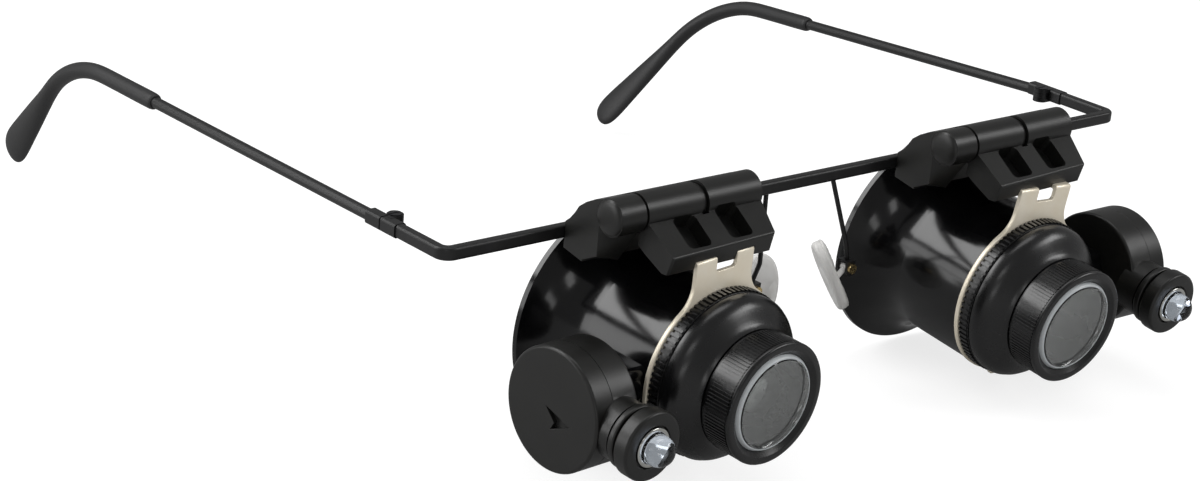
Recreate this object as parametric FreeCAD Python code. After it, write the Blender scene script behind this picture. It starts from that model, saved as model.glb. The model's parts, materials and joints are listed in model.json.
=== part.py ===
import FreeCAD, Part
import math
import os

# Magnifying glasses with a flip-up loupe and a small lamp for each eye. Lengths in millimetres,
# angles in degrees. The origin is the middle of the brow bar above the nose. +X is the wearer's
# left, +Y points back to the wearer and +Z is up. Right and left are the wearer's.

V = FreeCAD.Vector

# General
overrun = 1.0
ring_edge_share = 0.9
running_gap = 0.05
body_gap = 0.3
slide_gap = 0.2

# Brow bar
bar_half_width = 75.0
bar_height = 2.15
bar_depth = 1.75
bar_edge_round = 0.5
bar_bend_radius = 1.6

# Temple hinges
hinge_setback = 15.1
hinge_radius = 1.35
hinge_offset = 1.8
hinge_height = 2.4
hinge_middle = 0.9
hinge_screw_radius = 0.6
hinge_head_radius = 1.15
hinge_head_height = 0.15
hinge_slot_half = 0.15
hinge_slot_depth = 0.08
end_block_height = 2.3
end_block_width = 2.2
end_block_length = 3.8

# Temples: straight wire, then a plastic ear tip that bends down and a little inwards
temple_wire_radius = 0.98
temple_run = 64.5
temple_splay = 1.15
tip_sleeve_radius = 1.45
paddle_half_width = 3.3
paddle_half_thickness = 1.25
core_end_margin = 9.0
round_share = 1.002
# Ear tip sections: place along the lead and size of the sleeve
lead_shares = ((-1.0, 0.78), (-0.97, 0.95), (-0.92, 1.0), (-0.5, 1.0), (-0.12, 1.0))
bend_shares = (0.15, 0.32, 0.5, 0.68, 0.86)
# Ear tip sections: place along the paddle, swell from sleeve to paddle, closing of the end
paddle_shares = ((0.06, 0.08, 1.0), (0.25, 0.33, 1.0), (0.45, 0.6, 1.0), (0.65, 0.84, 1.0),
                 (0.8, 0.98, 1.0), (0.9, 1.0, 0.94), (0.96, 1.0, 0.74), (0.99, 1.0, 0.43),
                 (1.0, 1.0, 0.18))
right_temple = {"droop_degrees": -0.5, "roll_degrees": 3.0, "bend_degrees": 47.5,
                "lead": 16.2, "bend_radius": 25.7, "paddle": 22.6}
left_temple = {"droop_degrees": 3.8, "roll_degrees": 28.0, "bend_degrees": 59.0,
               "lead": 15.0, "bend_radius": 22.9, "paddle": 24.8}

# Nose pads
pad_arm_radius = 0.4
right_pad_arm_top = 9.9
left_pad_arm_top = 5.2
pad_arm_foot = 9.4
pad_arm_drop = 13.4
pad_arm_back = 0.3
pad_box_width = 1.8
pad_box_depth = 2.4
pad_box_height = 2.6
pad_box_x = 10.4
pad_box_y = 0.6
pad_box_z = -17.8
left_pad_spread = 1.0
pad_length = 13.4
pad_width = 7.4
pad_thickness = 1.8
pad_edge_round = 0.7
pad_x = 8.1
pad_y = 2.0
pad_z = -19.5
pad_tilt = 27.0
pad_yaw = 26.0
pad_eye_half = 0.6
pad_lug_radius = 0.5
pad_eye_radius = 0.85
pad_slot_top = 0.9
pad_screw_radius = 0.45
pad_screw_head_radius = 0.85
pad_screw_head_height = 0.5

# Clips: where the two loupes hang, and the flip hinge in front of the bar
right_loupe_x = -36.5
left_loupe_x = 35.45
flip_axis_y = -11.15
flip_axis_z = 5.65
barrel_radius = 3.15
cheek_radius = 3.0
pin_radius = 0.8
pin_head_radius = 1.3
pin_end_gap = 0.3
pin_head_height = 0.4
block_left = -11.4
block_right = 11.6
slit_half_width = 0.65
slit_web_half = 0.45
slit_web_radius = 2.7
slit_radius = 3.4
clip_left = -16.5
cheek_gap = 0.3
# Clip wall: front face, and the curved saddle from its top down to the bar
wall_front = -7.6
wall_back = -1.0
saddle_low = 1.9
saddle_height = 5.6
saddle_shares = ((0.0, 0.0), (0.15, 0.14), (0.32, 0.375), (0.44, 0.59), (0.68, 0.8), (1.0, 1.0))
wall_floor = -2.4
panel_front = -5.5
panel_floor = -3.2
panel_top = 1.6
brow_z = 3.2
panel_rib_width = 1.7
panel_rib_depth = 0.8
panel_rib_low = -2.5
panel_rib_high = 0.9
gusset_front = -13.5
gusset_top = 4.7
gusset_foot = -8.3
gusset_floor = -2.9
gusset_side_y = -8.8
gusset_side_top = 3.6
gusset_side_floor = -1.3
# Rear housing that holds the bar, and the plate that closes it
housing_half = 11.0
housing_back = 1.1
housing_roof = 2.2
boss_inner = 7.6
clip_boss_front = -4.2
clip_boss_floor = -3.5
relief_radius = 17.1
keeper_thickness = 0.8
keeper_inset = 0.3
keeper_relief_radius = 17.5
clip_round = 0.4
clip_screw_radius = 0.5
clip_screw_head_radius = 0.9
clip_screw_head_height = 0.3
clip_screw_length = 3.2
clip_screw_spread = 9.4
clip_screw_z = -2.3
leaf_thickness = 0.35
leaf_half_width = 3.8
leaf_height = 4.0
leaf_drop = 0.8

# Flip block: sloped front with two windows, a chin and wedge-shaped sides
slope_top_y = -14.05
slope_top_z = 4.85
chin_y = -19.9
chin_top_z = 1.0
chin_floor_z = -1.9
chin_right = 10.1
chin_foot_y = -19.0
chin_turn = 1.95
chin_left = -10.9
keel_y = -17.6
keel_z = -2.0
heel_y = -12.2
heel_z = 0.8
heel_top_y = -12.4
heel_top_z = 3.0
block_round = 0.4
window_width = 4.6
window_low = 0.1
window_high = 5.95
window_round = 0.9
window_first = -6.9
window_pitch = 8.65
window_rise = 0.3
window_depth = 2.6
left_block_pitch = 1.5

# Loupes: every station is a distance forward of the brow bar along the optical axis
loupe_drop = 18.9
right_loupe_tilt = 3.65
left_loupe_tilt = 6.15
right_loupe_toe = 3.7
left_loupe_toe = -0.8
left_loupe_setback = 0.5
right_bracket_lean = -2.2
left_bracket_lean = 3.6
rim_radius = 19.55
rim_station = -6.6
rim_lip = 0.9
flare_end = 3.4
cup_radius = 14.0
cup_wall = 1.4
cup_front = 17.2
cup_ledge_radius = 11.4
cup_ledge_depth = 1.0
spigot_radius = 12.4
spigot_length = 2.6

# Lamp boss on the outer side of the eyecup
boss_back = 8.0
boss_front = 16.8
boss_half_height = 3.9
boss_round = 1.2
stub_radius = 3.0

# Bracket: a steel ring round the loupe with a flared tab and two hooks
bracket_thickness = 0.8
bracket_radius = 14.25
tab_half_width = 6.15
tab_flare_radius = 5.0
tab_top = 19.6
hook_left = -1.8
hook_right = 2.5
hook_tongue = 1.3
hook_round = 0.5
hook_room_depth = 3.0
notch_depth = 2.5
notch_round = 0.6
lug_half_width = 1.5
lug_drop = 1.1

# Front cup and lens barrel
grip_length = 2.0
shoulder_mid_station = 21.6
shoulder_mid_radius = 13.75
shoulder_station = 22.8
shoulder_radius = 13.0
bend_mid_station = 23.6
bend_mid_radius = 12.15
throat_station = 24.2
throat_radius = 11.2
throat_mid_station = 24.7
throat_mid_radius = 10.4
mouth_station = 25.4
mouth_radius = 9.9
cup_bore = 10.9
cup_bore_end = 20.6
barrel_thread_radius = 8.6
barrel_rear = 21.4
neck_radius = 9.85
neck_start = 25.7
bezel_start = 28.8
bezel_radius = 10.15
bezel_front = 31.6
bezel_round = 0.35
bezel_mouth = 8.5
lens_seat_radius = 7.5
lens_seat_station = 30.6
lens_lip = 0.4
lens_radius = 7.85
lens_edge = 1.0
lens_bulge = 0.9
lens_dome_radius = 7.1
spacer_wall = 0.7
rear_lens_back = 22.6
retainer_length = 0.8
retainer_wall = 0.7

# Lamp: a round battery drum with a tube on its front rim
drum_inner_x = 22.0
drum_length = 8.6
drum_seam = 4.9
drum_station = 14.65
drum_rise = -0.85
drum_radius = 9.85
drum_bore = 8.4
drum_floor = 1.2
drum_edge_round = 0.5
cap_spigot_radius = 9.1
cap_spigot_length = 1.2
cap_mark_length = 5.5
cap_mark_depth = 0.8
cap_mark_shares = ((0.24, 0.05), (-0.76, -0.2), (-0.04, -0.55), (-0.16, -0.31))
cell_radius = 8.0
cell_height = 2.0
contact_thickness = 0.3
contact_half_width = 1.6
contact_half_length = 7.2
pivot_screw_radius = 1.0
pivot_screw_head_radius = 1.9
pivot_screw_head_height = 1.0
pivot_screw_bite = 3.0
tube_x = 25.4
tube_radius = 4.8
tube_root = 7.6
tube_end = 11.6
tube_spigot_radius = 3.6
tube_spigot_end = 14.4
tube_bore = 2.4
head_ring_radius = 5.2
head_ring_start = 12.0
head_ring_length = 1.2
head_groove_radius = 4.3
head_groove_length = 0.6
head_radius = 5.6
head_end = 16.5
head_recess_radius = 4.3
head_recess_depth = 0.5
head_round = 0.4
led_radius = 2.45
led_flange_radius = 2.9
led_flange_length = 0.2
led_straight = 1.2

SIDES = {
    "right": {"sign": -1, "x": right_loupe_x, "tilt": right_loupe_tilt, "toe": right_loupe_toe,
              "lean": right_bracket_lean, "setback": 0, "pitch": 0, "temple": right_temple,
              "pad_arm_top": right_pad_arm_top, "pad_spread": 0},
    "left": {"sign": 1, "x": left_loupe_x, "tilt": left_loupe_tilt, "toe": left_loupe_toe,
             "lean": left_bracket_lean, "setback": left_loupe_setback, "pitch": left_block_pitch,
             "temple": left_temple, "pad_arm_top": left_pad_arm_top,
             "pad_spread": left_pad_spread},
}
X_AXIS = V(1, 0, 0)
Y_AXIS = V(0, 1, 0)
Z_AXIS = V(0, 0, 1)
FORWARD = V(0, -1, 0)


def save(node, shape):
    """Write one node as a STEP file."""
    shape.exportStep("parts/" + node + ".step")


def rod(radius, start, end):
    """Solid cylinder from one point to another."""
    return Part.makeCylinder(radius, (end - start).Length, start, end - start)


def box(x, y, z):
    """Box from three (low, high) pairs."""
    return Part.makeBox(x[1] - x[0], y[1] - y[0], z[1] - z[0], V(x[0], y[0], z[0]))


def prism(points, low, high):
    """Extrude a (y, z) outline along X from low to high."""
    corners = [V(low, y, z) for y, z in points]
    face = Part.Face(Part.makePolygon(corners + corners[:1]))
    return face.extrude(V(high - low, 0, 0))


def turned(edges):
    """Solid of revolution about the optical axis from edges in the plane of axis and radius."""
    return Part.Face(Part.Wire(edges)).revolve(V(0, 0, 0), Y_AXIS, 360)


def at(station, radius):
    """Point of a turned outline: station forward along the axis, distance from the axis."""
    return V(radius, -station, 0)


def outline(points):
    """Closed chain of straight edges through (station, radius) points."""
    corners = [at(s, r) for s, r in points]
    return Part.makePolygon(corners + corners[:1]).Edges


def tube(outer, inner, start, end):
    """Round tube about the optical axis between two stations."""
    return turned(outline([(start, inner), (start, outer), (end, outer), (end, inner)]))


def joined(shapes):
    """Fuse solids into one and drop the seams between coplanar faces."""
    body = shapes[0]
    for shape in shapes[1:]:
        body = body.fuse(shape)
    return body.removeSplitter()


def rounded(shape, radius, picks):
    """Fillet the edges that a test function picks."""
    edges = [edge for edge in shape.Edges if picks(edge)]
    return shape.makeFillet(radius, edges)


def turned_by(vector, axis, degrees):
    """Vector turned about an axis through the origin."""
    return FreeCAD.Rotation(axis, degrees).multVec(vector)


def mirrored(shape):
    """Mirror image across the plane between the wearer's eyes."""
    return shape.mirror(V(0, 0, 0), X_AXIS)


def bar_path():
    """Half of the bar's centreline: straight run, sharp bend and straight return to the hinge."""
    reach = bar_half_width - bar_bend_radius
    diagonal = bar_bend_radius * math.sqrt(0.5)
    bend_start = V(reach, 0, 0)
    bend_mid = V(reach + diagonal, bar_bend_radius - diagonal, 0)
    bend_end = V(bar_half_width, bar_bend_radius, 0)
    last = V(bar_half_width, hinge_setback, 0)
    edges = [
        Part.LineSegment(V(0, 0, 0), bend_start).toShape(),
        Part.Arc(bend_start, bend_mid, bend_end).toShape(),
        Part.LineSegment(bend_end, last).toShape(),
    ]
    return edges, last


def whole_bar():
    """The whole bar as one solid with square edges."""
    edges = bar_path()[0]
    half_depth = bar_depth / 2
    half_height = bar_height / 2
    corners = [V(0, y, z) for y, z in (
        (-half_depth, -half_height), (half_depth, -half_height),
        (half_depth, half_height), (-half_depth, half_height))]
    section = Part.makePolygon(corners + corners[:1])
    half = Part.Wire(edges).makePipeShell([section], True, False)
    return joined([half, mirrored(half)])


def hinge_point():
    """Where the left return ends at its hinge."""
    return bar_path()[1]


def hinge_axis_x():
    """Distance of each temple's turning axis from the middle."""
    return hinge_point().x - hinge_offset


def knuckle(low, high, side_y):
    """Left hinge knuckle with its web, before or behind the turning axis."""
    axis_x = hinge_axis_x()
    barrel = rod(hinge_radius, V(axis_x, hinge_setback, low), V(axis_x, hinge_setback, high))
    edge = hinge_setback + side_y * body_gap / 2
    far = hinge_setback + side_y * hinge_radius
    web = box((axis_x, hinge_point().x), sorted((edge, far)), (low, high))
    bore = rod(hinge_screw_radius + running_gap, V(axis_x, hinge_setback, low - overrun),
               V(axis_x, hinge_setback, high + overrun))
    return barrel.fuse(web).cut(bore)


def end_block(side_y):
    """Flattened end of a wire beside the left hinge."""
    middle = hinge_point().x
    edge = hinge_setback + side_y * body_gap / 2
    far = hinge_setback + side_y * end_block_length
    block = box((middle - end_block_width / 2, middle + end_block_width / 2),
                sorted((edge, far)), (-end_block_height / 2, end_block_height / 2))
    return rounded(block, bar_edge_round, lambda e: abs(e.BoundBox.YLength) > end_block_length / 2)


def knuckle_room(low, high):
    """Clearance about the left hinge axis for the other leaf's knuckle."""
    axis_x = hinge_axis_x()
    return rod(hinge_radius + running_gap, V(axis_x, hinge_setback, low),
               V(axis_x, hinge_setback, high))


def make_front_bar():
    """Straight brow bar with its two bent returns and the outer hinge knuckles."""
    keep = box((-bar_half_width - overrun, bar_half_width + overrun),
               (-bar_half_width, hinge_setback - body_gap / 2), (-bar_half_width, bar_half_width))
    bar = whole_bar().common(keep)
    bar = rounded(bar, bar_edge_round, lambda e: e.Length > bar_half_width / 2)
    half = hinge_height / 2
    gap = hinge_middle / 2 + running_gap
    block = end_block(-1)
    room = knuckle_room(-gap, gap)
    bar = joined([bar, block, mirrored(block)]).cut(room).cut(mirrored(room))
    ends = [knuckle(-half, -gap, -1), knuckle(gap, half, -1)]
    return joined([bar] + ends + [mirrored(end) for end in ends])


def temple_frame(temple):
    """Start, heading, downward and sideways directions of a left temple."""
    start = V(hinge_point().x, hinge_setback, 0)
    heading = turned_by(Y_AXIS, Z_AXIS, -temple_splay)
    heading = turned_by(heading, X_AXIS, -temple["droop_degrees"])
    side = heading.cross(Z_AXIS).normalize()
    down = turned_by(side.cross(heading) * -1, heading, temple["roll_degrees"])
    return start, heading, down


def tip_point(temple, travel):
    """Point and heading of the ear tip's centreline, travel measured from the bend's start."""
    start, heading, down = temple_frame(temple)
    bend_start = start + heading * (temple_run + temple["lead"])
    radius = temple["bend_radius"]
    bend_length = radius * math.radians(temple["bend_degrees"])
    if travel <= 0:
        return bend_start + heading * travel, heading
    angle = math.radians(min(temple["bend_degrees"], math.degrees(travel / radius)))
    ahead = heading * math.cos(angle) + down * math.sin(angle)
    point = bend_start + heading * (radius * math.sin(angle)) + down * (radius * (1 - math.cos(angle)))
    return point + ahead * max(0, travel - bend_length), ahead


def ellipse_wire(point, heading, across, half_across, half_other):
    """Elliptic section square to a heading, its long side along across."""
    other = heading.cross(across).normalize()
    flat = other.cross(heading).normalize()
    curve = Part.Ellipse(point + flat * half_across, point + other * half_other, point)
    return Part.Wire([curve.toShape()])


def tip_sections(temple):
    """Travel, half width and half thickness of each section of the ear tip."""
    bend_length = temple["bend_radius"] * math.radians(temple["bend_degrees"])
    wide = tip_sleeve_radius * round_share
    sections = []
    for place, size in lead_shares:
        sections.append((temple["lead"] * place, wide * size, tip_sleeve_radius * size))
    for place in bend_shares:
        sections.append((bend_length * place, wide, tip_sleeve_radius))
    for place, swell, close in paddle_shares:
        width = wide + (paddle_half_width - wide) * swell
        thickness = tip_sleeve_radius + (paddle_half_thickness - tip_sleeve_radius) * swell
        sections.append((bend_length + temple["paddle"] * place, width * close, thickness * close))
    return sections


def make_temple_tip(temple):
    """Ear tip: round sleeve, bend and flat paddle with a rounded end, bored for the wire."""
    down = temple_frame(temple)[2]
    wires = []
    for travel, width, thickness in tip_sections(temple):
        point, heading = tip_point(temple, travel)
        wires.append(ellipse_wire(point, heading, down, width, thickness))
    return Part.makeLoft(wires, True, False)


def core_shape(temple, radius):
    """The temple's wire, straight through the tip's lead and round its bend."""
    start, heading, down = temple_frame(temple)
    bend_length = temple["bend_radius"] * math.radians(temple["bend_degrees"])
    first = start + heading * (body_gap / 2)
    bend_start = tip_point(temple, 0)[0]
    bend_mid = tip_point(temple, bend_length / 2)[0]
    bend_end = tip_point(temple, bend_length)[0]
    core_end = tip_point(temple, bend_length + temple["paddle"] - core_end_margin)[0]
    path = Part.Wire([
        Part.LineSegment(first, bend_start).toShape(),
        Part.Arc(bend_start, bend_mid, bend_end).toShape(),
        Part.LineSegment(bend_end, core_end).toShape(),
    ])
    section = Part.Wire([Part.Circle(first, heading, radius).toShape()])
    return path.makePipeShell([section], True, False)


def make_temple(temple):
    """Left-hand temple wire with its hinge knuckle, and its ear tip."""
    core = core_shape(temple, temple_wire_radius)
    half = hinge_middle / 2
    outer = hinge_height / 2 + running_gap
    wire = joined([core, end_block(1)])
    wire = wire.cut(knuckle_room(half, outer)).cut(knuckle_room(-outer, -half))
    arm = joined([wire, knuckle(-half, half, 1)])
    return arm, make_temple_tip(temple).cut(core)


def make_temple_screw():
    """Left hinge screw: shank through the knuckles and a low slotted head on top."""
    axis_x = hinge_axis_x()
    top = hinge_height / 2
    shank = rod(hinge_screw_radius, V(axis_x, hinge_setback, -top), V(axis_x, hinge_setback, top))
    head = rod(hinge_head_radius, V(axis_x, hinge_setback, top),
               V(axis_x, hinge_setback, top + hinge_head_height))
    slot = box((axis_x - hinge_head_radius, axis_x + hinge_head_radius),
               (hinge_setback - hinge_slot_half, hinge_setback + hinge_slot_half),
               (top + hinge_head_height - hinge_slot_depth, top + hinge_head_height + overrun))
    return shank.fuse(head).cut(slot)


def make_pad_arm(side):
    """Nose-pad arm as on the left: thin wire from under the bar to a small pad box."""
    spread = V(side["pad_spread"], 0, 0)
    top = V(side["pad_arm_top"], 0, -bar_height / 2) - spread
    low = V(pad_arm_foot, pad_arm_back, -pad_arm_drop)
    end = V(pad_box_x, pad_box_y, pad_box_z + pad_box_height / 2)
    wire = [rod(pad_arm_radius, top, low), Part.makeSphere(pad_arm_radius, low),
            rod(pad_arm_radius, low, end)]
    block = box((pad_box_x - pad_box_width / 2, pad_box_x + pad_box_width / 2),
                (pad_box_y - pad_box_depth / 2, pad_box_y + pad_box_depth / 2),
                (pad_box_z - pad_box_height / 2, pad_box_z + pad_box_height / 2))
    bore = rod(pad_screw_radius, V(pad_box_x, pad_box_y - pad_box_depth, pad_box_z),
               V(pad_box_x, pad_box_y + pad_box_depth, pad_box_z))
    slot = box((pad_box_x - pad_box_width, pad_box_x + pad_box_width),
               (pad_box_y - pad_eye_half - running_gap, pad_box_y + pad_eye_half + running_gap),
               (pad_box_z - pad_box_height, pad_box_z + pad_slot_top))
    bar = box((top.x - overrun, top.x + overrun), (-overrun, overrun),
              (-bar_height / 2, bar_height / 2))
    arm = joined(wire + [block]).cut(bore).cut(slot).cut(bar)
    arm.translate(spread)
    return arm


def make_pad(side):
    """Nose pad as on the left: soft oval cushion, tilted and turned, with a lug that the screw holds."""
    half_length = pad_length / 2
    half_width = pad_width / 2
    oval = Part.Ellipse(V(0, 0, half_length), V(0, half_width, 0), V(0, 0, 0))
    face = Part.Face(Part.Wire([oval.toShape()]))
    face.translate(V(-pad_thickness / 2, 0, 0))
    cushion = face.extrude(V(pad_thickness, 0, 0))
    cushion = cushion.makeFillet(pad_edge_round, cushion.Edges[:])
    cushion.rotate(V(0, 0, 0), Y_AXIS, -pad_tilt)
    cushion.rotate(V(0, 0, 0), Z_AXIS, -pad_yaw)
    cushion.translate(V(pad_x, pad_y, pad_z))
    eye = V(pad_box_x, pad_box_y, pad_box_z)
    lug = rod(pad_lug_radius, V(pad_x, pad_box_y, pad_z), eye)
    ring = rod(pad_eye_radius, eye + Y_AXIS * -pad_eye_half, eye + Y_AXIS * pad_eye_half)
    bore = rod(pad_screw_radius + running_gap, eye + Y_AXIS * -pad_box_depth,
               eye + Y_AXIS * pad_box_depth)
    pad = joined([cushion, lug, ring]).cut(bore)
    pad.translate(V(side["pad_spread"], 0, 0))
    return pad


def make_pad_screw(side):
    """Nose-pad screw as on the left, along the pad box with its head to the front."""
    front = pad_box_y - pad_box_depth / 2
    shank = rod(pad_screw_radius, V(pad_box_x, front, pad_box_z),
                V(pad_box_x, front + pad_box_depth, pad_box_z))
    head = rod(pad_screw_head_radius, V(pad_box_x, front - pad_screw_head_height, pad_box_z),
               V(pad_box_x, front, pad_box_z))
    screw = shank.fuse(head)
    screw.translate(V(side["pad_spread"], 0, 0))
    return screw


def flip_rod(radius, low, high):
    """Cylinder on the flip axis between two places along the clip."""
    return rod(radius, V(low, flip_axis_y, flip_axis_z), V(high, flip_axis_y, flip_axis_z))


def saddle():
    """Clip outline from the back foot of the wall up its curved top to the front."""
    depth = wall_back - wall_front
    return [(wall_back - depth * y, saddle_low + saddle_height * z) for y, z in saddle_shares]


def make_cheek():
    """Left end of the fixed clip: hinge knuckle, its back to the wall and the gusset under it."""
    right = block_left - cheek_gap
    crown = flip_axis_z + cheek_radius
    top = prism([(flip_axis_y, crown), (wall_front, saddle_low + saddle_height),
                 (wall_front, gusset_side_top), (flip_axis_y, gusset_side_top)], clip_left, right)
    inner = [(panel_front, gusset_top), (gusset_front, gusset_top), (gusset_foot, gusset_floor),
             (panel_front, panel_floor)]
    outer = [(panel_front, gusset_top), (gusset_side_y, gusset_side_top),
             (gusset_side_y, gusset_side_floor), (panel_front, gusset_floor)]
    wires = []
    for x, points in ((right, inner), (clip_left, outer)):
        corners = [V(x, y, z) for y, z in points]
        wires.append(Part.makePolygon(corners + corners[:1]))
    gusset = Part.makeLoft(wires, True, True)
    return [flip_rod(cheek_radius, clip_left, right), top, gusset]


def bar_channel():
    """Room for the bar in a clip, open to the back."""
    front = -bar_depth / 2 - slide_gap
    half_height = bar_height / 2 + slide_gap
    return box((clip_left - overrun, housing_half + overrun), (front, housing_back),
               (-half_height, half_height))


def relief(radius):
    """Round relief that keeps a clip clear of the eyecup's flare."""
    back = housing_back + keeper_thickness + overrun
    return rod(radius, V(0, wall_back, -loupe_drop), V(0, back, -loupe_drop))


def clip_screw_places():
    """Places of the two keeper screws, one under each end of the housing."""
    return [V(-clip_screw_spread, 0, clip_screw_z), V(clip_screw_spread, 0, clip_screw_z)]


def make_clip_body():
    """Fixed clip: wall with its saddle, panel with a rib, end cheek, slit web and bar housing."""
    wall = prism(saddle() + [(wall_front, brow_z), (panel_front, panel_top), (panel_front, panel_floor),
                             (wall_back, wall_floor)], clip_left, housing_half)
    rib = box((clip_left, clip_left + panel_rib_width),
              (panel_front - panel_rib_depth, panel_front), (panel_rib_low, panel_rib_high))
    housing = box((-housing_half, housing_half), (panel_front, housing_back), (wall_floor, housing_roof))
    feet = []
    for low, high in ((-housing_half, -boss_inner), (boss_inner, housing_half)):
        feet.append(box((low, high), (clip_boss_front, housing_back), (clip_boss_floor, wall_floor)))
    web_plate = box((-slit_web_half, slit_web_half), (flip_axis_y, wall_front),
                    (flip_axis_z - slit_web_radius, flip_axis_z + slit_web_half))
    web = [flip_rod(slit_web_radius, -slit_web_half, slit_web_half), web_plate]
    body = joined([wall, rib, housing] + feet + make_cheek() + web)
    body = body.cut(flip_rod(pin_radius, clip_left - overrun, slit_web_half + overrun))
    body = body.cut(flip_rod(pin_head_radius, clip_left - overrun, clip_left + pin_head_height))
    body = body.cut(bar_channel()).cut(relief(relief_radius))
    for place in clip_screw_places():
        back = place + Y_AXIS * housing_back
        body = body.cut(rod(clip_screw_radius, back - Y_AXIS * clip_screw_length, back + Y_AXIS * overrun))
    return body


def make_clip_keeper():
    """Back plate that closes the clip's bar channel."""
    half = housing_half - keeper_inset
    back = housing_back + keeper_thickness
    plate = box((-half, half), (housing_back, back), (clip_boss_floor, housing_roof))
    plate = rounded(plate, clip_round, lambda e: e.BoundBox.YMin > back - clip_round / 2)
    plate = plate.cut(relief(keeper_relief_radius))
    for place in clip_screw_places():
        plate = plate.cut(rod(clip_screw_radius, place, place + Y_AXIS * (back + overrun)))
        plate = plate.cut(rod(clip_screw_head_radius, place + Y_AXIS * (back - clip_screw_head_height),
                              place + Y_AXIS * (back + overrun)))
    return plate


def make_clip_screws():
    """Two small keeper screws, flush with the plate."""
    back = housing_back + keeper_thickness
    screws = []
    for place in clip_screw_places():
        tip = place + Y_AXIS * (housing_back - clip_screw_length)
        neck = place + Y_AXIS * (back - clip_screw_head_height)
        shank = rod(clip_screw_radius, tip, neck)
        screws.append(shank.fuse(rod(clip_screw_head_radius, neck, place + Y_AXIS * back)))
    return Part.makeCompound(screws)


def make_flip_pin():
    """Steel pin through the cheek, the web and the block's two knuckles."""
    shank = flip_rod(pin_radius, clip_left + pin_head_height, block_right - body_gap - pin_end_gap)
    return shank.fuse(flip_rod(pin_head_radius, clip_left, clip_left + pin_head_height))


def make_detent_leaf():
    """Flat spring on the clip wall's front that rubs on the block's barrel."""
    middle = flip_axis_z - leaf_drop
    across = housing_half / 2
    return box((across - leaf_half_width, across + leaf_half_width),
               (wall_front - leaf_thickness, wall_front),
               (middle - leaf_height / 2, middle + leaf_height / 2))


def loupe_place(side):
    """Placement from the straight loupe frame to its place under the bar."""
    turn = FreeCAD.Rotation(Z_AXIS, side["toe"]).multiply(FreeCAD.Rotation(X_AXIS, side["tilt"]))
    return FreeCAD.Placement(V(side["x"], side["setback"], -loupe_drop), turn)


def bracket_place(side):
    """Placement of the bracket: the loupe's, leaning about the optical axis."""
    lean = FreeCAD.Rotation(Y_AXIS, side["lean"])
    return loupe_place(side).multiply(FreeCAD.Placement(V(0, 0, 0), lean))


def hook_spans():
    """Left and right edges of the bracket's two hooks."""
    return (-tab_half_width, hook_left), (hook_right, tab_half_width)


def tongues(grow):
    """Ends of the bracket's hooks, bent back into the block, in the loupe frame."""
    back = -cup_front + hook_tongue + grow
    front = -cup_front - bracket_thickness - grow
    height = (tab_top - bracket_thickness - grow, tab_top + grow)
    return [box((low - grow, high + grow), (front, back), height) for low, high in hook_spans()]


def hook_room():
    """Room in front of the hooks, open to the front, in the loupe frame."""
    gap = running_gap
    return [box((low - gap, high + gap), (-cup_front - hook_room_depth, -cup_front + gap),
                (tab_top - notch_depth - overrun, tab_top + gap)) for low, high in hook_spans()]


def window_cutter(first, rise):
    """Window in the sloped front, from a place along the block and raised along the slope."""
    slope = V(0, chin_y - slope_top_y, chin_top_z - slope_top_z).normalize()
    inward = X_AXIS.cross(slope)
    edge = V(first, slope_top_y, slope_top_z) - inward * overrun - slope * rise
    corners = [edge + slope * window_low, edge + slope * window_high,
               edge + slope * window_high + X_AXIS * window_width,
               edge + slope * window_low + X_AXIS * window_width]
    face = Part.Face(Part.makePolygon(corners + corners[:1]))
    cutter = face.extrude(inward * (window_depth + overrun))
    return rounded(cutter, window_round, lambda e: abs(abs(e.tangentAt(0).dot(inward)) - 1) < 0.001)


def chin_lean():
    """How far the chin's front face falls back for each length down."""
    return (chin_foot_y - chin_y) / (chin_top_z - chin_floor_z)


def behind_chin():
    """Everything behind the chin's front face, which falls back downwards and to the right."""
    low = keel_z - overrun
    high = flip_axis_z + overrun
    points = [(chin_y + chin_lean() * (chin_top_z - high), high), (wall_front, high),
              (wall_front, low), (chin_y + chin_lean() * (chin_top_z - low), low)]
    solid = prism(points, 2 * block_left, 2 * block_right)
    solid.rotate(V(chin_left, chin_y, 0), Z_AXIS, chin_turn)
    return solid


def on_chin(edge):
    """Whether an edge lies in the chin's front face."""
    corner = V(chin_left, chin_y, chin_top_z)
    normal = turned_by(V(0, 1, chin_lean()).normalize(), Z_AXIS, chin_turn)
    return all(abs((vertex.Point - corner).dot(normal)) < running_gap for vertex in edge.Vertexes)


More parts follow.
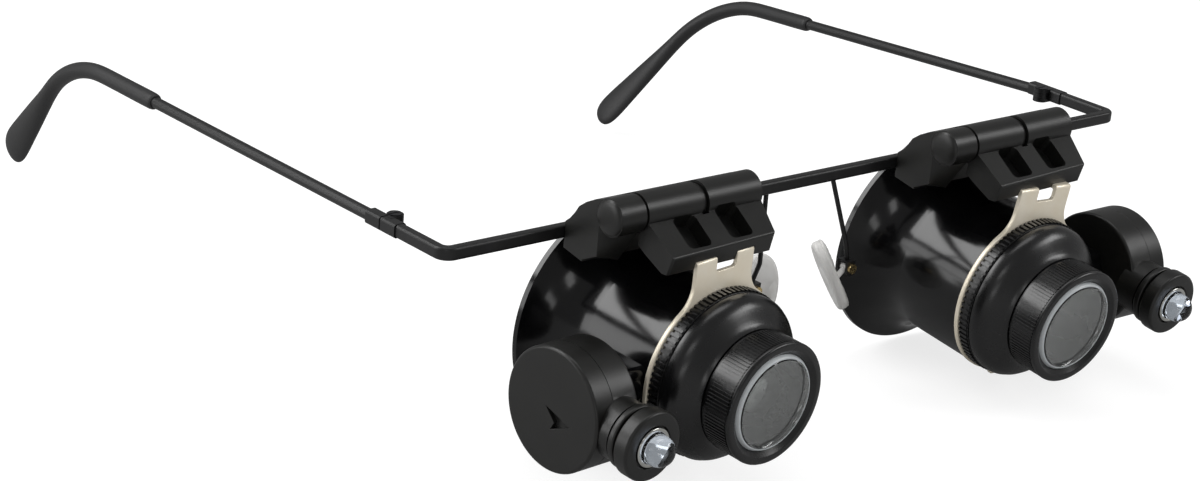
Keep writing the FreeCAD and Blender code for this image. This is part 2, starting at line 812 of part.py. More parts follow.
def make_flip_block(side):
    """Flip block: barrel with a slit, sloped front with windows, chin and slots for the hooks."""
    fall = (slope_top_z - chin_top_z) / (slope_top_y - chin_y)
    points = [(flip_axis_y, flip_axis_z), (slope_top_y, slope_top_z),
              (chin_y - overrun, chin_top_z - overrun * fall), (chin_y - overrun, chin_floor_z),
              (keel_y, keel_z), (heel_y, heel_z), (heel_top_y, heel_top_z)]
    wedge = prism(points, block_left, block_right)
    left = V(block_left, slope_top_y, keel_z)
    right = V(block_right, slope_top_y, keel_z)
    plan = [V(block_left, flip_axis_y, keel_z), left, left + (V(chin_left, chin_y, keel_z) - left) * 2,
            right + (V(chin_right, chin_y, keel_z) - right) * 2, right,
            V(block_right, flip_axis_y, keel_z)]
    taper = Part.Face(Part.makePolygon(plan + plan[:1])).extrude(Z_AXIS * (flip_axis_z - keel_z))
    wedge = rounded(wedge.common(taper).common(behind_chin()), block_round, on_chin)
    block = joined([wedge, flip_rod(barrel_radius, block_left, block_right)])
    block = block.cut(flip_rod(slit_radius, -slit_half_width, slit_half_width))
    block = block.cut(flip_rod(pin_radius + running_gap, block_left - overrun, block_right - body_gap))
    for index in range(2):
        block = block.cut(window_cutter(window_first + index * window_pitch, index * window_rise))
    turn = FreeCAD.Rotation(X_AXIS, side["pitch"])
    pitch = FreeCAD.Placement(V(0, 0, 0), turn, V(0, flip_axis_y, flip_axis_z))
    block.Placement = pitch.multiply(block.Placement)
    frame = bracket_place(side)
    for room in tongues(running_gap) + hook_room():
        room.Placement = frame.multiply(room.Placement)
        room.translate(V(-side["x"], 0, 0))
        block = block.cut(room)
    return block


def make_bracket():
    """Bracket in the loupe frame: ring, flared tab with a notch, two hooks and a bottom lug."""
    reach = bracket_radius + tab_flare_radius
    flare_x = tab_half_width + tab_flare_radius
    flare_z = math.sqrt(reach * reach - flare_x * flare_x)
    tangent_x = flare_x * bracket_radius / reach
    tangent_z = flare_z * bracket_radius / reach
    front = -cup_front - bracket_thickness
    disc = Part.makeCylinder(bracket_radius, bracket_thickness, V(0, front, 0), Y_AXIS)
    corners = [V(-tangent_x, front, 0), V(tangent_x, front, 0), V(tangent_x, front, tangent_z),
               V(flare_x, front, flare_z), V(flare_x, front, tab_top), V(-flare_x, front, tab_top),
               V(-flare_x, front, flare_z), V(-tangent_x, front, tangent_z)]
    plate = Part.Face(Part.makePolygon(corners + corners[:1])).extrude(Y_AXIS * bracket_thickness)
    for sign in (-1, 1):
        centre = V(sign * flare_x, front - overrun, flare_z)
        depth = bracket_thickness + 2 * overrun
        plate = plate.cut(Part.makeCylinder(tab_flare_radius, depth, centre, Y_AXIS))
        edges = sorted((sign * tab_half_width, sign * (flare_x + overrun)))
        plate = plate.cut(box(edges, (front - overrun, front + depth), (flare_z, tab_top + overrun)))
    back = front + bracket_thickness
    notch = box((hook_left, hook_right), (front - overrun, back + overrun),
                (tab_top - notch_depth, tab_top + overrun))
    notch = rounded(notch, notch_round, lambda e: abs(e.BoundBox.YLength) > bracket_thickness
                    and e.BoundBox.ZMax < tab_top)
    lug = box((-lug_half_width, lug_half_width), (front, back),
              (-bracket_radius - lug_drop, -spigot_radius - bracket_thickness))
    lug = rounded(lug, lug_drop / 2, lambda e: e.BoundBox.ZMax < -bracket_radius
                  and abs(e.BoundBox.YLength) > bracket_thickness / 2)
    body = joined([disc, plate, lug] + tongues(0)).cut(notch)
    body = rounded(body, hook_round, lambda e: e.BoundBox.ZMin > tab_top - hook_round / 2
                   and e.BoundBox.YMax < front + hook_round / 2)
    hole = Part.makeCylinder(spigot_radius + running_gap, bracket_thickness + 2 * overrun,
                             V(0, front - overrun, 0), Y_AXIS)
    return body.cut(hole)


def flare(radius, station):
    """Arc of the eyecup's flare, tangent to a body radius, and where it reaches a station."""
    length = flare_end - rim_station - rim_lip
    height = rim_radius - cup_radius
    centre_radius = cup_radius + (length * length + height * height) / (2 * height)
    bend = centre_radius - radius
    angle = math.asin((flare_end - station) / bend)
    mid = at(flare_end - bend * math.sin(angle / 2), centre_radius - bend * math.cos(angle / 2))
    end = at(station, centre_radius - bend * math.cos(angle))
    return Part.Arc(at(flare_end, radius), mid, end).toShape(), end


def make_eyecup(sign):
    """Flared eyecup with a threaded front bore and the boss that carries the lamp."""
    inner = cup_radius - cup_wall
    bore = spigot_radius + running_gap
    ledge_end = cup_front - spigot_length - running_gap
    ledge_start = ledge_end - cup_ledge_depth
    outer_flare, outer_rim = flare(cup_radius, rim_station + rim_lip)
    inner_flare, inner_rim = flare(inner, rim_station)
    corners = [outer_rim, at(rim_station, rim_radius), inner_rim]
    ledge = [at(ledge_end, bore), at(ledge_end, cup_ledge_radius),
             at(ledge_start, cup_ledge_radius), at(ledge_start, inner)]
    front = [at(flare_end, cup_radius), at(cup_front, cup_radius), at(cup_front, bore)]
    front += ledge + [at(flare_end, inner)]
    edges = [outer_flare] + Part.makePolygon(front).Edges + [inner_flare] + Part.makePolygon(corners).Edges
    shell = turned(edges)
    face_x = drum_inner_x - running_gap
    half = boss_half_height
    boss = box((cup_radius - cup_wall, face_x - body_gap), (-boss_front, -boss_back),
               (drum_rise - half, drum_rise + half))
    boss = rounded(boss, boss_round, lambda e: abs(e.BoundBox.XLength) > cup_wall)
    hub = V(0, -drum_station, drum_rise)
    stub = rod(stub_radius, hub + X_AXIS * (cup_radius + bracket_thickness), hub + X_AXIS * face_x)
    room = Part.makeCylinder(cup_radius - cup_wall / 2, cup_front, V(0, 0, 0), FORWARD)
    lamp_mount = joined([boss, stub]).cut(room)
    lamp_mount = lamp_mount.cut(rod(pivot_screw_radius, hub + X_AXIS * (face_x - pivot_screw_bite),
                                    hub + X_AXIS * (face_x + overrun)))
    if sign < 0:
        lamp_mount = mirrored(lamp_mount)
    return joined([shell, lamp_mount])


def make_front_cup():
    """Front cup: threaded spigot, finger grip, round shoulder and mouth for the lens barrel."""
    start = cup_front - spigot_length
    flange = cup_front + bracket_thickness
    grip_end = flange + grip_length
    bore = barrel_thread_radius + running_gap
    rear = [at(mouth_station, mouth_radius), at(mouth_station, bore), at(cup_bore_end + cup_wall, bore),
            at(cup_bore_end, cup_bore), at(start, cup_bore), at(start, spigot_radius),
            at(flange, spigot_radius), at(flange, cup_radius), at(grip_end, cup_radius)]
    edges = Part.makePolygon(rear).Edges + [
        Part.Arc(at(grip_end, cup_radius), at(shoulder_mid_station, shoulder_mid_radius),
                 at(shoulder_station, shoulder_radius)).toShape(),
        Part.Arc(at(shoulder_station, shoulder_radius), at(bend_mid_station, bend_mid_radius),
                 at(throat_station, throat_radius)).toShape(),
        Part.Arc(at(throat_station, throat_radius), at(throat_mid_station, throat_mid_radius),
                 at(mouth_station, mouth_radius)).toShape(),
    ]
    return turned(edges)


def make_lens_barrel():
    """Turning barrel: thread tube, grip neck and smooth bezel with a sloped mouth."""
    bore = lens_radius + running_gap
    points = [(barrel_rear, bore), (barrel_rear, barrel_thread_radius),
              (neck_start, barrel_thread_radius), (neck_start, neck_radius), (bezel_start, neck_radius),
              (bezel_start, bezel_radius), (bezel_front, bezel_radius), (bezel_front, bezel_mouth),
              (lens_seat_station, lens_seat_radius), (lens_seat_station - lens_lip, lens_seat_radius),
              (lens_seat_station - lens_lip, bore)]
    barrel = turned(outline(points))
    around = ring_edge_share * math.tau * bezel_mouth
    return rounded(barrel, bezel_round, lambda e: e.Length > around
                   and abs(e.BoundBox.YMin + bezel_front) < bezel_round / 2
                   and e.BoundBox.XMax > bezel_radius - bezel_round / 2)


def lens(back, front):
    """Round glass between edge stations back and front, domed on both faces inside a flat rim."""
    dome = lens_dome_radius
    curve = (dome * dome + lens_bulge * lens_bulge) / (2 * lens_bulge)
    half = math.asin(dome / curve) / 2
    fall = curve - curve * math.cos(half)
    mid_radius = curve * math.sin(half)
    edges = [
        Part.LineSegment(at(back - lens_bulge, 0), at(front + lens_bulge, 0)).toShape(),
        Part.Arc(at(front + lens_bulge, 0), at(front + lens_bulge - fall, mid_radius),
                 at(front, dome)).toShape(),
        Part.LineSegment(at(front, dome), at(front, lens_radius)).toShape(),
        Part.LineSegment(at(front, lens_radius), at(back, lens_radius)).toShape(),
        Part.LineSegment(at(back, lens_radius), at(back, dome)).toShape(),
        Part.Arc(at(back, dome), at(back - lens_bulge + fall, mid_radius),
                 at(back - lens_bulge, 0)).toShape(),
    ]
    return turned(edges)


def make_lens_set():
    """Front lens, spacer tube, rear lens and threaded retaining ring, from the front backwards."""
    front = lens_seat_station - lens_lip - running_gap
    front_back = front - lens_edge
    rear_front = rear_lens_back + lens_edge
    return {
        "front_lens": lens(front_back, front),
        "lens_spacer": tube(lens_radius, lens_radius - spacer_wall, rear_front, front_back),
        "rear_lens": lens(rear_lens_back, rear_front),
        "lens_retainer": tube(lens_radius, lens_radius - retainer_wall,
                              rear_lens_back - retainer_length, rear_lens_back),
    }


def drum_rod(radius, start, length):
    """Cylinder on the drum's axis in the left loupe frame."""
    return Part.makeCylinder(radius, length, V(start, -drum_station, drum_rise), X_AXIS)


def tube_rod(radius, start, end):
    """Cylinder on the lamp tube's axis between two distances from the drum's axis."""
    first = V(tube_x, -drum_station - start, drum_rise)
    return rod(radius, first, V(tube_x, -drum_station - end, drum_rise))


def make_lamp_housing():
    """Inner half of the drum with the tube neck on its front rim."""
    shell = drum_rod(drum_radius, drum_inner_x, drum_seam)
    shell = rounded(shell, drum_edge_round, lambda e: e.BoundBox.XMax < drum_inner_x + drum_edge_round)
    neck = tube_rod(tube_radius, tube_root, tube_end)
    spigot = tube_rod(tube_spigot_radius, tube_end, tube_spigot_end)
    body = shell.fuse(neck).fuse(spigot)
    room = drum_rod(drum_radius, drum_inner_x + drum_seam, drum_length)
    front_half = tube_rod(tube_radius + overrun, drum_radius, head_end)
    body = body.cut(room.cut(front_half))
    body = body.cut(drum_rod(drum_bore, drum_inner_x + drum_floor, drum_length))
    body = body.cut(drum_rod(cap_spigot_radius + running_gap,
                             drum_inner_x + drum_seam - cap_spigot_length - running_gap, drum_length))
    body = body.cut(drum_rod(drum_radius + running_gap, drum_inner_x + drum_seam, drum_length))
    body = body.cut(tube_rod(tube_bore, 0, tube_spigot_end + overrun))
    hole_length = drum_floor + 2 * overrun
    return body.cut(drum_rod(pivot_screw_radius + running_gap, drum_inner_x - overrun, hole_length))


def make_battery_cap():
    """Outer half of the drum: twist cap with an arrowhead mark sunk in its face."""
    outer_x = drum_inner_x + drum_length
    seam_x = drum_inner_x + drum_seam + running_gap
    cap = drum_rod(drum_radius, seam_x, outer_x - seam_x)
    cap = rounded(cap, drum_edge_round, lambda e: e.BoundBox.XMin > outer_x - drum_edge_round)
    cap = cap.fuse(drum_rod(cap_spigot_radius, seam_x - cap_spigot_length, cap_spigot_length))
    cap = cap.cut(drum_rod(drum_bore, seam_x - 2 * cap_spigot_length,
                           outer_x - drum_floor - seam_x + 2 * cap_spigot_length))
    floor_x = outer_x - cap_mark_depth
    middle = V(floor_x, -drum_station, drum_rise)
    corners = [middle + V(0, cap_mark_length * y, cap_mark_length * z) for y, z in cap_mark_shares]
    mark = Part.Face(Part.makePolygon(corners + corners[:1])).extrude(X_AXIS * (cap_mark_depth + overrun))
    return cap.cut(mark)


def cell_start():
    """Where the inner coin cell begins: above the pivot screw's head and the inner contact."""
    floor = drum_inner_x + drum_floor + running_gap
    return floor + pivot_screw_head_height + contact_thickness + running_gap


def make_coin_cells():
    """Two coin cells stacked in the drum."""
    return Part.makeCompound([drum_rod(cell_radius, cell_start(), cell_height),
                              drum_rod(cell_radius, cell_start() + cell_height, cell_height)])


def make_contacts():
    """Two brass contact strips, one under the cells and one under the cap."""
    middle = V(0, -drum_station, drum_rise)
    strips = []
    for start in (cell_start() - contact_thickness, cell_start() + 2 * cell_height):
        strips.append(box((start, start + contact_thickness),
                          (middle.y - contact_half_length, middle.y + contact_half_length),
                          (middle.z - contact_half_width, middle.z + contact_half_width)))
    return Part.makeCompound(strips)


def make_pivot_screw():
    """Screw through the drum's floor into the eyecup's boss."""
    seat = drum_inner_x + drum_floor + running_gap
    bite = seat - drum_inner_x + running_gap + pivot_screw_bite
    return drum_rod(pivot_screw_radius, seat - bite, bite).fuse(
        drum_rod(pivot_screw_head_radius, seat, pivot_screw_head_height))


def make_lamp_head():
    """Turning lamp head: ring, groove and wide head with a sunk face and the lamp's hole."""
    ring_end = head_ring_start + head_ring_length
    groove_end = ring_end + head_groove_length
    ring = tube_rod(head_ring_radius, head_ring_start, ring_end)
    around = ring_edge_share * math.tau * head_ring_radius
    ring = rounded(ring, head_round, lambda e: e.Length > around)
    groove = tube_rod(head_groove_radius, ring_end, groove_end)
    wide = tube_rod(head_radius, groove_end, head_end)
    wide = rounded(wide, head_round, lambda e: e.Length > around)
    head = joined([ring, groove, wide])
    head = head.cut(tube_rod(tube_spigot_radius + running_gap, head_ring_start - overrun,
                             tube_spigot_end + body_gap))
    head = head.cut(tube_rod(head_recess_radius, head_end - head_recess_depth, head_end + overrun))
    return head.cut(tube_rod(led_radius, tube_spigot_end, head_end + overrun))


def make_led():
    """Clear lamp: flange behind the head's wall, straight body and dome."""
    flange_end = tube_spigot_end + body_gap
    flange = tube_rod(led_flange_radius, flange_end - led_flange_length, flange_end)
    dome_start = head_end + led_straight
    body = tube_rod(led_radius, flange_end, dome_start)
    dome = Part.makeSphere(led_radius, V(tube_x, -drum_station - dome_start, drum_rise))
    return joined([flange, body, dome])


def main():
    os.makedirs("parts", exist_ok=True)
    save("front_bar", make_front_bar())
    for name, side in SIDES.items():
        sign = side["sign"]
        handed = (lambda shape: shape) if sign > 0 else mirrored
        arm, tip = make_temple(side["temple"])
        save(name + "_temple_arm", handed(arm))
        save(name + "_temple_tip", handed(tip))
        save(name + "_temple_screw", handed(make_temple_screw()))
        save(name + "_nose_pad_arm", handed(make_pad_arm(side)))
        save(name + "_nose_pad", handed(make_pad(side)))
        save(name + "_nose_pad_screw", handed(make_pad_screw(side)))

        clip = {
            "_clip_body": make_clip_body(),
            "_clip_keeper": make_clip_keeper(),
            "_clip_screws": make_clip_screws(),
            "_flip_pin": make_flip_pin(),
            "_detent_leaf": make_detent_leaf(),
            "_flip_block": make_flip_block(side),
        }
        for part, shape in clip.items():
            shape.translate(V(side["x"], 0, 0))
            save(name + part, shape)

        loupe = {
            "_eyecup": make_eyecup(sign),
            "_front_cup": make_front_cup(),
            "_lens_barrel": make_lens_barrel(),
            "_lamp_housing": handed(make_lamp_housing()),
            "_battery_cap": handed(make_battery_cap()),
            "_coin_cells": handed(make_coin_cells()),
            "_battery_contacts": handed(make_contacts()),
            "_lamp_pivot_screw": handed(make_pivot_screw()),
            "_lamp_head": handed(make_lamp_head()),
            "_led": handed(make_led()),
        }
        for part, shape in make_lens_set().items():
            loupe["_" + part] = shape
        bracket = make_bracket()
        bracket.Placement = bracket_place(side).multiply(bracket.Placement)
        save(name + "_bracket", bracket)
        frame = loupe_place(side)
        for part, shape in loupe.items():
            shape.Placement = frame.multiply(shape.Placement)
            save(name + part, shape)


main()
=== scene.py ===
import bpy
import json
import math
from mathutils import Matrix, Vector

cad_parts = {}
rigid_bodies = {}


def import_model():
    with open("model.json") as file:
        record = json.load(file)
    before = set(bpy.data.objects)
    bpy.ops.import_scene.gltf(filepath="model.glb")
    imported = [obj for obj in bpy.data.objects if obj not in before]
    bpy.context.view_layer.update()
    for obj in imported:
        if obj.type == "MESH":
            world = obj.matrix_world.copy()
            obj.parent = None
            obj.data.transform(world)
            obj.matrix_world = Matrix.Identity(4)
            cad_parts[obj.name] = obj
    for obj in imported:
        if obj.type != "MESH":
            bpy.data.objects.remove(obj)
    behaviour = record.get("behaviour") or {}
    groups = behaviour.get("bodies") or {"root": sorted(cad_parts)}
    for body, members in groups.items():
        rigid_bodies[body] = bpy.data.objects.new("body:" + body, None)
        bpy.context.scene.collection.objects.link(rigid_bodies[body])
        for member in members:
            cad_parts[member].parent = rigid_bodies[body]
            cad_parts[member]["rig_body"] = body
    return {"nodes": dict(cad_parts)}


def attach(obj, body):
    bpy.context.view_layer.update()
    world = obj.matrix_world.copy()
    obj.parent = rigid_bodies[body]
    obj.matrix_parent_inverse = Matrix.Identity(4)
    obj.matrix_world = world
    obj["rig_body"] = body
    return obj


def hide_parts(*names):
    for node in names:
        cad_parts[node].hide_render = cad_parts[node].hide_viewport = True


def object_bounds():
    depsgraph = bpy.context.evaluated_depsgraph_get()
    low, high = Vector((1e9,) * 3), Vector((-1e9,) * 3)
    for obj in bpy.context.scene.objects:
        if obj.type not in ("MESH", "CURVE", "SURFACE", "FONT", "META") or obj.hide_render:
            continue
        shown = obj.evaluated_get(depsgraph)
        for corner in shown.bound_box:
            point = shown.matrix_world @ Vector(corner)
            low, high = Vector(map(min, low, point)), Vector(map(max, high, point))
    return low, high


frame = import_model()
cad_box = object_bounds()
nodes = frame["nodes"]
scene = bpy.context.scene
MM = 0.001

# Places in millimetres and degrees, the wearer's right and left

SIDES = ("right", "left")
OUTWARD = {"right": -1, "left": 1}
LOUPE_X = {"right": -36.5, "left": 35.45}
LOUPE_SETBACK = {"right": 0.0, "left": 0.5}
LOUPE_DROP = 18.9
LOUPE_TILT = {"right": 3.65, "left": 6.15}
LOUPE_TOE = {"right": 3.7, "left": -0.8}

# Middle of the battery drum and its lamp tube, seen from the loupe's origin
TUBE_REACH = 25.4
TUBE_FORWARD = 14.65
TUBE_DROP = 0.85

# Axis of the flip hinge, and the knuckle's outer end seen from the loupe's middle
HINGE_FORWARD = 11.15
HINGE_HEIGHT = 5.65
KNUCKLE_REACH = 16.5

# Points closer than this are welded, and each tooth of a turned ring takes this many steps
WELD = 0.002
STEPS_PER_TOOTH = 4


def shift(x, y, z):
    """Shift by millimetres."""
    return Matrix.Translation((x * MM, y * MM, z * MM))


def turn(degrees, axis):
    """Turn about an axis through the origin."""
    return Matrix.Rotation(math.radians(degrees), 4, axis)


def loupe_place(side):
    """Frame of a loupe: its optical axis runs along local -Y from the origin."""
    middle = shift(LOUPE_X[side], LOUPE_SETBACK[side], -LOUPE_DROP)
    return middle @ turn(LOUPE_TOE[side], "Z") @ turn(LOUPE_TILT[side], "X")


def tube_place(side):
    """Frame of a lamp tube: local -Y runs forwards from the drum's axis."""
    return loupe_place(side) @ shift(TUBE_REACH * OUTWARD[side], -TUBE_FORWARD, -TUBE_DROP)


# Nodes and colours

def linear(code):
    """Scene-linear colour of an sRGB hex value."""
    parts = [int(code[i:i + 2], 16) / 255 for i in (0, 2, 4)]
    return tuple(p / 12.92 if p <= 0.04045 else ((p + 0.055) / 1.055) ** 2.4 for p in parts) + (1,)


def per(millimetres):
    """Texture scale that gives a pattern this many millimetres across."""
    return 1000 / millimetres


def add(tree, kind, sockets=(), **options):
    """Add a node with its options, values and links."""
    made = tree.nodes.new("ShaderNode" + kind)
    for name, value in options.items():
        setattr(made, name, value)
    for name, value in dict(sockets).items():
        if isinstance(value, bpy.types.NodeSocket):
            tree.links.new(value, made.inputs[name])
        else:
            made.inputs[name].default_value = value
    return made


def new_finish(name):
    """Empty material and its node tree."""
    finish = bpy.data.materials.new(name)
    finish.use_nodes = True
    finish.node_tree.nodes.clear()
    return finish, finish.node_tree


# Black lacquer sprayed on steel wire: a low sheen with fine orange peel and slightly greyer rubs
wire_lacquer, tree = new_finish("sprayed_black_lacquer_on_steel_wire")
spot = add(tree, "TexCoord").outputs["Object"]
peel = add(tree, "TexNoise", {"Vector": spot, "Scale": per(0.5), "Detail": 3.0})
rubs = add(tree, "TexNoise", {"Vector": spot, "Scale": per(7), "Detail": 6.0, "Roughness": 0.65})
rub_mask = add(tree, "MapRange", {"Value": rubs.outputs["Fac"], "From Min": 0.52, "From Max": 0.72})
colour = add(tree, "MixRGB", {"Fac": rub_mask.outputs["Result"], "Color1": linear("0c0c0d"),
                              "Color2": linear("19181a")})
gloss = add(tree, "MapRange", {"Value": rubs.outputs["Fac"], "To Min": 0.34, "To Max": 0.5})
bump = add(tree, "Bump", {"Height": peel.outputs["Fac"], "Strength": 0.18, "Distance": 0.00004})
shader = add(tree, "BsdfPrincipled", {"Base Color": colour.outputs["Color"], "IOR": 1.5,
                                      "Roughness": gloss.outputs["Result"],
                                      "Normal": bump.outputs["Normal"]})
add(tree, "OutputMaterial", {"Surface": shader.outputs["BSDF"]})

# Soft PVC ear tips moulded over the wire: matte, a little greyer than the lacquer.
# Their grain is drawn coarser than it is, so that it shows
tip_pvc, tree = new_finish("moulded_soft_pvc_ear_tip")
spot = add(tree, "TexCoord").outputs["Object"]
grain = add(tree, "TexNoise", {"Vector": spot, "Scale": per(0.35), "Detail": 4.0})
cloud = add(tree, "TexNoise", {"Vector": spot, "Scale": per(5), "Detail": 3.0})
colour = add(tree, "MixRGB", {"Fac": cloud.outputs["Fac"], "Color1": linear("111112"),
                              "Color2": linear("1d1d1e")})
gloss = add(tree, "MapRange", {"Value": cloud.outputs["Fac"], "To Min": 0.46, "To Max": 0.6})
bump = add(tree, "Bump", {"Height": grain.outputs["Fac"], "Strength": 0.22, "Distance": 0.00004})
shader = add(tree, "BsdfPrincipled", {"Base Color": colour.outputs["Color"], "IOR": 1.52,
                                      "Roughness": gloss.outputs["Result"],
                                      "Normal": bump.outputs["Normal"]})
add(tree, "OutputMaterial", {"Surface": shader.outputs["BSDF"]})

# Satin black ABS from a lightly sparked mould: soft broad highlights, faint flow clouds.
# The spark grain is drawn coarser than it is, so that it shows
satin_abs, tree = new_finish("moulded_satin_black_abs")
spot = add(tree, "TexCoord").outputs["Object"]
grain = add(tree, "TexNoise", {"Vector": spot, "Scale": per(0.22), "Detail": 3.0})
flow = add(tree, "TexNoise", {"Vector": spot, "Scale": per(6), "Detail": 4.0, "Distortion": 0.6})
colour = add(tree, "MixRGB", {"Fac": flow.outputs["Fac"], "Color1": linear("0c0c0b"),
                              "Color2": linear("151513")})
gloss = add(tree, "MapRange", {"Value": flow.outputs["Fac"], "To Min": 0.32, "To Max": 0.44})
bump = add(tree, "Bump", {"Height": grain.outputs["Fac"], "Strength": 0.16, "Distance": 0.00003})
shader = add(tree, "BsdfPrincipled", {"Base Color": colour.outputs["Color"], "IOR": 1.54,
                                      "Roughness": gloss.outputs["Result"], "Specular IOR Level": 0.42,
                                      "Normal": bump.outputs["Normal"]})
add(tree, "OutputMaterial", {"Surface": shader.outputs["BSDF"]})

# Polished black ABS of the cups: near-mirror skin with sink waviness and hairline handling marks
gloss_abs, tree = new_finish("polished_black_abs_cup")
spot = add(tree, "TexCoord").outputs["Object"]
sink = add(tree, "TexNoise", {"Vector": spot, "Scale": per(9), "Detail": 1.5})
haze = add(tree, "TexNoise", {"Vector": spot, "Scale": per(3), "Detail": 6.0, "Roughness": 0.7})
stretch = add(tree, "Mapping", {"Vector": spot, "Scale": (1.0, 0.12, 1.0), "Rotation": (0.2, 0.5, 0.9)})
hairs = add(tree, "TexNoise", {"Vector": stretch.outputs["Vector"], "Scale": per(0.16), "Detail": 2.0})
hair_mask = add(tree, "MapRange", {"Value": hairs.outputs["Fac"], "From Min": 0.68, "From Max": 0.8})
colour = add(tree, "MixRGB", {"Fac": haze.outputs["Fac"], "Color1": linear("050506"),
                              "Color2": linear("0a0a0b")})
gloss = add(tree, "MapRange", {"Value": haze.outputs["Fac"], "To Min": 0.1, "To Max": 0.2})
worn = add(tree, "Math", {0: hair_mask.outputs["Result"], 1: 0.08, 2: gloss.outputs["Result"]},
           operation="MULTIPLY_ADD")
bump = add(tree, "Bump", {"Height": sink.outputs["Fac"], "Strength": 0.25, "Distance": 0.00025})
shader = add(tree, "BsdfPrincipled", {"Base Color": colour.outputs["Color"], "IOR": 1.54,
                                      "Roughness": worn.outputs["Value"], "Specular IOR Level": 0.36,
                                      "Normal": bump.outputs["Normal"]})
add(tree, "OutputMaterial", {"Surface": shader.outputs["BSDF"]})

# Semi-gloss black ABS of the front cup and barrel: clear but softened highlights.
# The mould's grain is drawn coarser than it is, so that it shows
semi_abs, tree = new_finish("moulded_semi_gloss_black_abs")
spot = add(tree, "TexCoord").outputs["Object"]
grain = add(tree, "TexNoise", {"Vector": spot, "Scale": per(0.3), "Detail": 3.0})
flow = add(tree, "TexNoise", {"Vector": spot, "Scale": per(4), "Detail": 5.0})
colour = add(tree, "MixRGB", {"Fac": flow.outputs["Fac"], "Color1": linear("09090a"),
                              "Color2": linear("111112")})
gloss = add(tree, "MapRange", {"Value": flow.outputs["Fac"], "To Min": 0.2, "To Max": 0.34})
bump = add(tree, "Bump", {"Height": grain.outputs["Fac"], "Strength": 0.1, "Distance": 0.00003})
shader = add(tree, "BsdfPrincipled", {"Base Color": colour.outputs["Color"], "IOR": 1.54,
                                      "Roughness": gloss.outputs["Result"],
                                      "Normal": bump.outputs["Normal"]})
add(tree, "OutputMaterial", {"Surface": shader.outputs["BSDF"]})

# Nickel plate on stamped steel sheet: warm silver with drawn lines and soft clouding. Only partly
# metallic: its pale cream diffuse colour is a painted reflection, standing in for the bright room the
# plate mirrors
# The rolling lines are drawn coarser than they are, so that they show
nickel_sheet_with_painted_reflection, tree = new_finish("nickel_plated_stamped_steel_with_painted_reflection")
spot = add(tree, "TexCoord").outputs["Object"]
lines = add(tree, "Mapping", {"Vector": spot, "Scale": (0.06, 1.0, 1.0)})
drawn = add(tree, "TexNoise", {"Vector": lines.outputs["Vector"], "Scale": per(0.12), "Detail": 3.0})
cloud = add(tree, "TexNoise", {"Vector": spot, "Scale": per(3), "Detail": 5.0})
colour = add(tree, "MixRGB", {"Fac": cloud.outputs["Fac"], "Color1": linear("f3e6cc"),
                              "Color2": linear("fff8e8")})
gloss = add(tree, "MapRange", {"Value": cloud.outputs["Fac"], "To Min": 0.3, "To Max": 0.42})
bump = add(tree, "Bump", {"Height": drawn.outputs["Fac"], "Strength": 0.15, "Distance": 0.00002})
# Metallic is held low so the pale base colour paints in the plate's bright reflection
shader = add(tree, "BsdfPrincipled", {"Base Color": colour.outputs["Color"], "Metallic": 0.4,
                                      "Roughness": gloss.outputs["Result"],
                                      "Normal": bump.outputs["Normal"]})
add(tree, "OutputMaterial", {"Surface": shader.outputs["BSDF"]})

# Bright turned steel of the cells, detent leaves and pivot screws: mirror-like with tool marks
bright_steel, tree = new_finish("turned_bright_steel")
spot = add(tree, "TexCoord").outputs["Object"]
marks = add(tree, "TexNoise", {"Vector": spot, "Scale": per(0.15), "Detail": 4.0})
gloss = add(tree, "MapRange", {"Value": marks.outputs["Fac"], "To Min": 0.2, "To Max": 0.36})
colour = add(tree, "MixRGB", {"Fac": marks.outputs["Fac"], "Color1": linear("b4b4b6"),
                              "Color2": linear("d2d2d4")})
shader = add(tree, "BsdfPrincipled", {"Base Color": colour.outputs["Color"], "Metallic": 1.0,
                                      "Roughness": gloss.outputs["Result"]})
add(tree, "OutputMaterial", {"Surface": shader.outputs["BSDF"]})

# Black-oxide steel of the temple and clip screws and the flip pins: a dark, dull metal
oxide_steel, tree = new_finish("black_oxide_steel_screw")
spot = add(tree, "TexCoord").outputs["Object"]
marks = add(tree, "TexNoise", {"Vector": spot, "Scale": per(0.2), "Detail": 5.0})
colour = add(tree, "MixRGB", {"Fac": marks.outputs["Fac"], "Color1": linear("262628"),
                              "Color2": linear("46464a")})
gloss = add(tree, "MapRange", {"Value": marks.outputs["Fac"], "To Min": 0.28, "To Max": 0.45})
shader = add(tree, "BsdfPrincipled", {"Base Color": colour.outputs["Color"], "Metallic": 1.0,
                                      "Roughness": gloss.outputs["Result"]})
add(tree, "OutputMaterial", {"Surface": shader.outputs["BSDF"]})

# Turned brass of the nose-pad screws and contact strips, with a little tarnish
turned_brass, tree = new_finish("turned_brass")
spot = add(tree, "TexCoord").outputs["Object"]
tarnish = add(tree, "TexNoise", {"Vector": spot, "Scale": per(0.5), "Detail": 6.0})
colour = add(tree, "MixRGB", {"Fac": tarnish.outputs["Fac"], "Color1": linear("c5a467"),
                              "Color2": linear("ecd9a6")})
gloss = add(tree, "MapRange", {"Value": tarnish.outputs["Fac"], "To Min": 0.18, "To Max": 0.34})
shader = add(tree, "BsdfPrincipled", {"Base Color": colour.outputs["Color"], "Metallic": 1.0,
                                      "Roughness": gloss.outputs["Result"]})
add(tree, "OutputMaterial", {"Surface": shader.outputs["BSDF"]})

